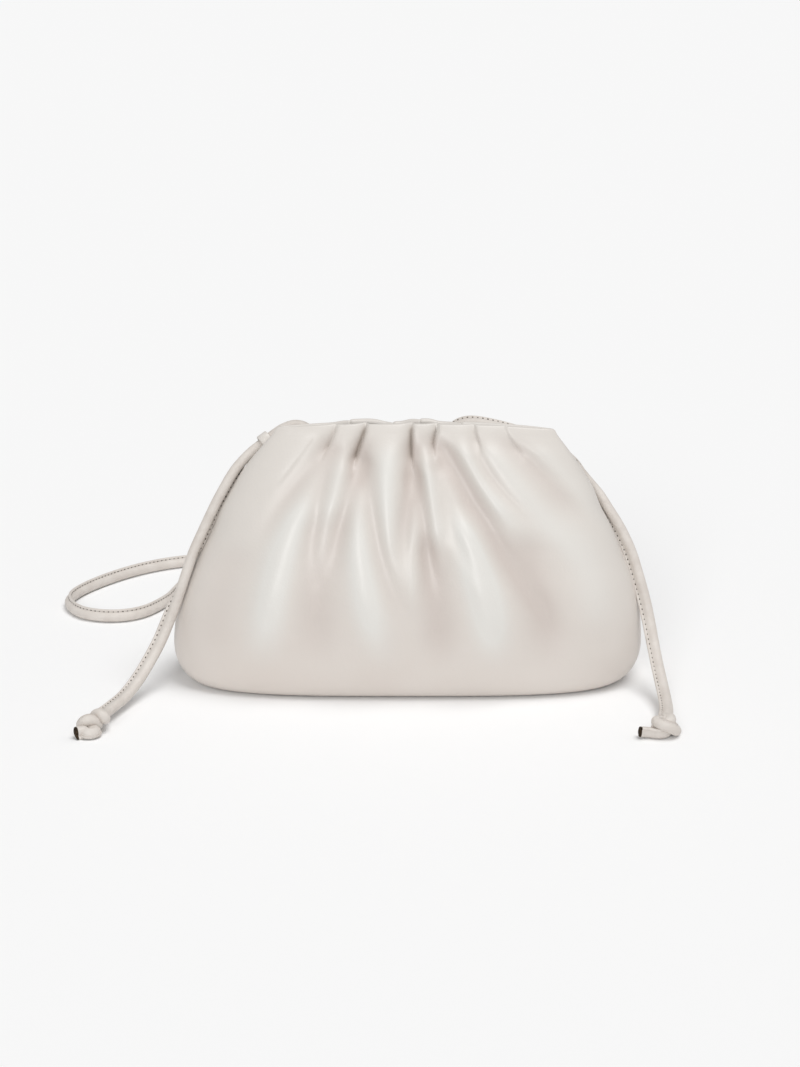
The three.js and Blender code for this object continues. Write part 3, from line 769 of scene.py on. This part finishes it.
def rounded(reach, share, up):
    """How far along one axis a level outline is: its reach, and the cosine or sine of the turn."""
    return reach * np.sign(share) * np.abs(share) ** (2 / table_value(SQUARE, up))


def skin_shade_masks(turn, height):
    """How far the folds press the outer face in, and how near it is to a crease's bottom, from 0 to 1: the
    masks for the painted highlight and shade.
    """
    up = height / POUCH_HEIGHT
    sine = np.sin(turn)
    x = rounded(half_width_at(turn, up), np.cos(turn), up)
    face = np.where(sine < 0, FRONT, BACK)
    pressed = fold_press(face, x / POUCH_HALF_WIDTH, up) * np.abs(sine)
    return pressed, np.clip(crease_press(face, x, up) / CREASE_SHADE_FULL, 0, 1) ** CREASE_SHADE_NARROW


def skin_points(turn, height, inset):
    """The pouch's skin at turns round its outline and a height, that far inside its outer face."""
    up = height / POUCH_HEIGHT
    cosine, sine = np.cos(turn), np.sin(turn)
    outer_side = half_width_at(turn, up)
    x = rounded(outer_side - inset, cosine, up)
    flat_y = rounded(table_value(DEEP, up) * POUCH_HALF_DEPTH - inset, sine, up)
    face = np.where(sine < 0, FRONT, BACK)
    press = fold_press(face, x / POUCH_HALF_WIDTH, up) + crease_press(face, x, up)
    y = flat_y - face * press * np.abs(sine)
    drop = np.where(cosine < 0, RIM_DROP_LEFT, RIM_DROP_RIGHT) * np.abs(x / outer_side) ** RIM_DROP_BOW
    drop = drop + RIM_DROP_BACK * np.maximum(sine, 0)
    for middle, reach, rise in REAR_TABS:
        drop = drop - rise * np.exp(-((x - middle) / reach) ** 4) * smoothstep(sine, 0.1, 0.6)
    return np.stack([x, y, height - drop * up ** RIM_DROP_REACH], axis=-1)


def even_heights(count, low, high, samples=2000):
    """Heights that are evenly spaced along the pouch's profile."""
    heights = np.linspace(low, high, samples)
    deep = table_value(DEEP, heights / POUCH_HEIGHT) * POUCH_HALF_DEPTH
    lengths = np.concatenate([[0], np.cumsum(np.hypot(np.diff(heights), np.diff(deep)))])
    return np.interp(np.linspace(0, lengths[-1], count + 1), lengths, heights)


def make_pouch():
    even = 2 * math.pi * np.arange(COLUMNS) / COLUMNS
    turns = even + COLUMNS_TO_MIDDLE * np.sin(2 * even)
    outer_heights = even_heights(OUTER_RINGS, 0, RIM_BEAD_HEIGHT - RIM_BLEND)
    rings = [skin_points(turns, height, 0) for height in outer_heights]
    shade_masks = [skin_shade_masks(turns, height) for height in outer_heights]
    for roll in np.linspace(RIM_FIRST_ROLL, math.pi, RIM_RINGS)[:-1]:
        ring = skin_points(turns, RIM_BEAD_HEIGHT, RIM_WALL / 2 * (1 - math.cos(roll)))
        rings.append(ring + (0, 0, RIM_WALL / 2 * math.sin(roll)))
    inner_heights = even_heights(INNER_RINGS, BASE_WALL, RIM_BEAD_HEIGHT)
    thickened = smoothstep(inner_heights, POUCH_HEIGHT - RIM_THICKENING, RIM_BEAD_HEIGHT)
    wall = LEATHER_WALL + (RIM_WALL - LEATHER_WALL) * thickened
    for height, inset in zip(inner_heights[::-1], wall[::-1]):
        rings.append(skin_points(turns, height, inset))
    vertices = np.vstack([*rings, [(0, 0, 0), (0, 0, BASE_WALL)]])
    faces = grid_faces(len(rings), COLUMNS)
    bottom, floor = len(vertices) - 2, len(vertices) - 1
    last = (len(rings) - 1) * COLUMNS
    for i in range(COLUMNS):
        j = (i + 1) % COLUMNS
        faces.append((bottom, j, i))
        faces.append((floor, last + i, last + j))
    piece = make_piece("pouch_skin", vertices, faces, [LEATHER, INSIDE], math.radians(180))
    first_inner = (OUTER_RINGS + RIM_RINGS) * COLUMNS
    for polygon in piece.data.polygons:
        if min(polygon.vertices) >= first_inner and bottom not in polygon.vertices:
            polygon.material_index = 1
    # The fold press and the crease mask are stored on the skin's outer points, to steer the painted highlight
    # and painted shade in its leather
    unmasked = len(vertices) - len(shade_masks) * COLUMNS
    for name, rows in zip(("pressed", "crease_shade"), zip(*shade_masks)):
        values = piece.data.attributes.new(name, "FLOAT", "POINT").data
        values.foreach_set("value", np.pad(np.concatenate(rows), (0, unmasked)))
    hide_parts("pouch_body")


make_pouch()

# The keepers: a band of leather round the cord, whose two ends meet and go into the end of the mouth
KEEPER_BORE = CORD_DIAMETER / 2 + 0.0005
KEEPER_WALL = 0.001
KEEPER_WIDTH = 0.005
# How far from the cord's middle the two ends meet, and the place at the mouth that they point to
KEEPER_REACH = 0.0054
KEEPER_MOUTHS = {"left": (-0.06407, 0.00593, 0.10827), "right": (0.06681, 0.00844, 0.10550)}


def keeper_outline():
    """The band's middle line: round the cord, then in to the mouth, as (towards the mouth, across)."""
    radius = KEEPER_BORE + KEEPER_WALL / 2
    meet = math.acos(radius / KEEPER_REACH)
    turns = np.linspace(meet, 2 * math.pi - meet, 25)
    ring = np.stack([np.cos(turns), np.sin(turns)], axis=1) * radius
    foot = np.array([(KEEPER_REACH, KEEPER_WALL * 0.55)])
    return np.vstack([foot, ring, foot * (1, -1)])


def make_keeper(side, place, before, after):
    run = unit(np.array(after) - np.array(before))
    towards = np.array(KEEPER_MOUTHS[side]) - np.array(place)
    towards = unit(towards - run * np.dot(towards, run))
    across = np.cross(run, towards)
    outline = keeper_outline()
    line = np.array(place) + outline[:, :1] * towards + outline[:, 1:] * across
    line = along_route(line, np.linspace(0, route_length(line), 60))
    half, bend = KEEPER_WIDTH / 2, KEEPER_WALL / 2
    corners = np.array([(-half, -bend * 0.6), (-half + bend * 0.5, -bend), (half - bend * 0.5, -bend),
                        (half, -bend * 0.6), (half, bend * 0.6), (half - bend * 0.5, bend),
                        (-half + bend * 0.5, bend), (-half, bend * 0.6)])
    sections = np.repeat(corners[None], len(line), axis=0)
    vertices, faces = swept(line, np.repeat(run[None], len(line), axis=0), sections)
    piece = make_piece(f"keeper_band_{side}", vertices, faces, [LEATHER])
    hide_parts(f"keeper_{side}")


make_keeper("left", STRAP_ROUTE[0], LEFT_END_ROUTE[1], STRAP_ROUTE[1])
make_keeper("right", STRAP_ROUTE[-1], RIGHT_END_ROUTE[1], STRAP_ROUTE[-2])

# Stitches along the neck of the cord's flange
STITCH_PITCH = 0.0024
STITCH_LENGTH = 0.0014
STITCH_THICKNESS = 0.00034
HOLE_LENGTH = 0.0009
HOLE_THICKNESS = 0.00056
SEAM_OUT = 0.0003
STITCH_SEED = 4


def stitch_tree():
    """Small capsules set along every curve of the object, a pitch apart."""
    tree = bpy.data.node_groups.new("stitches along a seam", "GeometryNodeTree")
    sockets = {}
    tree.interface.new_socket(name="Seam", in_out="INPUT", socket_type="NodeSocketGeometry")
    for name, kind in (("Pitch", "Float"), ("Length", "Float"), ("Thickness", "Float"), ("Seed", "Int"),
                       ("Material", "Material")):
        sockets[name] = tree.interface.new_socket(
            name=name, in_out="INPUT", socket_type=f"NodeSocket{kind}").identifier
    tree.interface.new_socket(name="Stitches", in_out="OUTPUT", socket_type="NodeSocketGeometry")
    nodes, links = tree.nodes, tree.links
    source = nodes.new("NodeGroupInput")
    points = nodes.new("GeometryNodeCurveToPoints")
    points.mode = "LENGTH"
    align = nodes.new("FunctionNodeAlignRotationToVector")
    align.axis = "X"
    capsule = nodes.new("GeometryNodeMeshUVSphere")
    capsule.inputs["Segments"].default_value = 8
    capsule.inputs["Rings"].default_value = 5
    capsule.inputs["Radius"].default_value = 0.5
    size = nodes.new("ShaderNodeCombineXYZ")
    vary = nodes.new("FunctionNodeRandomValue")
    vary.data_type = "FLOAT"
    vary.inputs["Min"].default_value = 0.88
    vary.inputs["Max"].default_value = 1.1
    grow = nodes.new("ShaderNodeVectorMath")
    grow.operation = "SCALE"
    place = nodes.new("GeometryNodeInstanceOnPoints")
    realize = nodes.new("GeometryNodeRealizeInstances")
    paint = nodes.new("GeometryNodeSetMaterial")
    result = nodes.new("NodeGroupOutput")
    links.new(source.outputs["Seam"], points.inputs["Curve"])
    links.new(source.outputs["Pitch"], points.inputs["Length"])
    links.new(points.outputs["Tangent"], align.inputs["Vector"])
    links.new(source.outputs["Length"], size.inputs["X"])
    links.new(source.outputs["Thickness"], size.inputs["Y"])
    links.new(source.outputs["Thickness"], size.inputs["Z"])
    links.new(source.outputs["Seed"], vary.inputs["Seed"])
    links.new(size.outputs["Vector"], grow.inputs["Vector"])
    links.new(vary.outputs["Value"], grow.inputs["Scale"])
    links.new(points.outputs["Points"], place.inputs["Points"])
    links.new(capsule.outputs["Mesh"], place.inputs["Instance"])
    links.new(align.outputs["Rotation"], place.inputs["Rotation"])
    links.new(grow.outputs["Vector"], place.inputs["Scale"])
    links.new(place.outputs["Instances"], realize.inputs["Geometry"])
    links.new(realize.outputs["Geometry"], paint.inputs["Geometry"])
    links.new(source.outputs["Material"], paint.inputs["Material"])
    links.new(paint.outputs["Geometry"], result.inputs["Stitches"])
    return tree, sockets


STITCH_TREE, STITCH_SOCKETS = stitch_tree()


def seam_lines(line, ways, start):
    """The two lines of stitches, one on each face of the flange's neck."""
    sides = np.cross(unit(np.gradient(line, axis=0)), ways)
    whole = route_length(line)
    for across in (-NECK_HALF, NECK_HALF):
        seam = line + ways * (NECK_REACH + SEAM_OUT) + sides * across
        yield along_route(seam, np.arange(start, whole, STITCH_PITCH / 4))


def make_stitches(name, line, ways, start, values):
    curve = bpy.data.curves.new(name + "_seam", "CURVE")
    curve.dimensions = "3D"
    for seam in seam_lines(line, ways, start):
        spline = curve.splines.new("POLY")
        spline.points.add(len(seam) - 1)
        spline.points.foreach_set("co", np.column_stack([seam, np.ones(len(seam))]).ravel())
    seam_object = bpy.data.objects.new(name + "_seam", curve)
    bpy.context.scene.collection.objects.link(seam_object)
    modifier = seam_object.modifiers.new("stitches", "NODES")
    modifier.node_group = STITCH_TREE
    for socket, value in values.items():
        modifier[STITCH_SOCKETS[socket]] = value
    evaluated = seam_object.evaluated_get(bpy.context.evaluated_depsgraph_get())
    mesh = bpy.data.meshes.new_from_object(evaluated)
    seam_object.modifiers.remove(modifier)
    bpy.data.objects.remove(seam_object)
    mesh.name = name
    mesh.shade_smooth()
    piece = bpy.data.objects.new(name, mesh)
    bpy.context.scene.collection.objects.link(piece)
    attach(piece, "root")


for cord_name, cord_line, cord_ways in (
    ("strap", strap_line, strap_ways),
    ("free_end_left", left_line, left_ways),
    ("free_end_right", right_line, right_ways),
):
    make_stitches(f"{cord_name}_stitches", cord_line, cord_ways, STITCH_PITCH, {
        "Pitch": STITCH_PITCH, "Length": STITCH_LENGTH, "Thickness": STITCH_THICKNESS,
        "Seed": STITCH_SEED, "Material": THREAD})
    make_stitches(f"{cord_name}_needle_holes", cord_line, cord_ways, STITCH_PITCH * 1.5, {
        "Pitch": STITCH_PITCH, "Length": HOLE_LENGTH, "Thickness": HOLE_THICKNESS,
        "Seed": STITCH_SEED + 1, "Material": NEEDLE_SHADE})

# A pale floor and soft light
FLOOR_HALF = 9.0
FLOOR_COLOUR = (0.93, 0.93, 0.93)
SKY_LIGHT = 0.40
BACKDROP = 0.94
# Two soft lights, with columns name, strength, softness and where it comes from
LIGHTS = [
    ("soft key", 1.50, math.radians(40), Vector((0.26, -0.06, 0.95))),
    ("front fill", 1.05, math.radians(25), Vector((-0.20, -0.86, 0.42))),
]


def make_floor():
    mesh = bpy.data.meshes.new("floor")
    corners = [(x * FLOOR_HALF, y * FLOOR_HALF, 0) for x, y in ((-1, -1), (1, -1), (1, 1), (-1, 1))]
    mesh.from_pydata(corners, [], [(0, 1, 2, 3)])
    floor = bpy.data.objects.new("floor", mesh)
    bpy.context.scene.collection.objects.link(floor)
    material, _, _ = new_material("pale floor", FLOOR_COLOUR, 0.9, 0.0)
    mesh.materials.append(material)


def make_light():
    world = bpy.data.worlds.new("studio")
    bpy.context.scene.world = world
    world.use_nodes = True
    tree = world.node_tree
    sky = tree.nodes["Background"]
    sky.inputs["Color"].default_value = (1, 1, 1, 1)
    sky.inputs["Strength"].default_value = SKY_LIGHT
    backdrop = add_node(tree, "ShaderNodeBackground", Color=(1, 1, 1, 1), Strength=BACKDROP)
    seen = tree.nodes.new("ShaderNodeLightPath")
    mix = tree.nodes.new("ShaderNodeMixShader")
    tree.links.new(seen.outputs["Is Camera Ray"], mix.inputs["Fac"])
    tree.links.new(sky.outputs["Background"], mix.inputs[1])
    tree.links.new(backdrop.outputs["Background"], mix.inputs[2])
    tree.links.new(mix.outputs["Shader"], tree.nodes["World Output"].inputs["Surface"])
    for name, strength, softness, come_from in LIGHTS:
        data = bpy.data.lights.new(name, "SUN")
        data.energy = strength
        data.angle = softness
        sun = bpy.data.objects.new(name, data)
        sun.rotation_euler = come_from.to_track_quat("Z", "Y").to_euler()
        bpy.context.scene.collection.objects.link(sun)


make_floor()
make_light()
